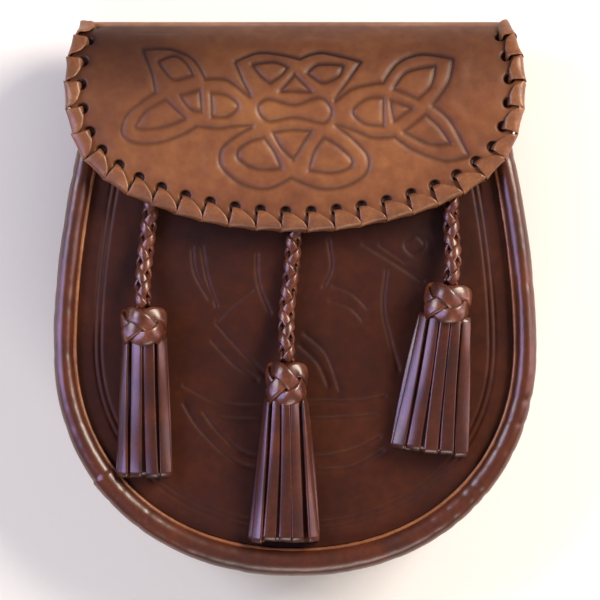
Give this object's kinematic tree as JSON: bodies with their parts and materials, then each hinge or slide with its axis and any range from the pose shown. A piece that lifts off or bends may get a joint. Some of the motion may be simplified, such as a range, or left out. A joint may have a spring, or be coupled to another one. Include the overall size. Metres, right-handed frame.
{
  "type": "leather sporran pouch with laced flap and tassels",
  "caption": "Round-bottomed leather pouch worn in front of a kilt, with an embossed laced flap folded over the top, a padded rim, hanging strip tassels and belt loops behind.",
  "frame": {"origin": "on the surface that the sporran rests on, below the middle of its outline", "axes": "+X to the right seen from the front, +Y towards the folded top, +Z out of the front of the pouch"},
  "size_m": [0.1644, 0.1903, 0.0499],
  "materials": {
    "flap_leather": "waxed tan-brown cowhide, embossed, satin to glossy",
    "panel_leather": "waxed dark brown cowhide, satin",
    "gusset_leather": "dark brown cowhide, satin",
    "rim_leather": "reddish brown leather turned over a cord, glossy",
    "lace_leather": "tan-brown thong, glossy",
    "stud_metal": "aged brass",
    "loop_leather": "dark brown strap leather, satin",
    "cord_leather": "braided red-brown strings, glossy",
    "knot_leather": "woven red-brown strings, glossy",
    "skirt_leather": "cut red-brown strips, glossy face"
  },
  "bodies": {
    "root": {"back_and_flap": "flap_leather", "front_panel": "panel_leather", "gusset": "gusset_leather", "rim_roll": "rim_leather", "flap_lacing": "lace_leather", "flap_stud": "stud_metal", "belt_loop_left": "loop_leather", "belt_loop_right": "loop_leather", "tassel_cord_left": "cord_leather", "tassel_cord_middle": "cord_leather", "tassel_cord_right": "cord_leather", "tassel_knot_left": "knot_leather", "tassel_knot_middle": "knot_leather", "tassel_knot_right": "knot_leather", "tassel_skirt_left": "skirt_leather", "tassel_skirt_middle": "skirt_leather", "tassel_skirt_right": "skirt_leather"}
  },
  "joints": []
}
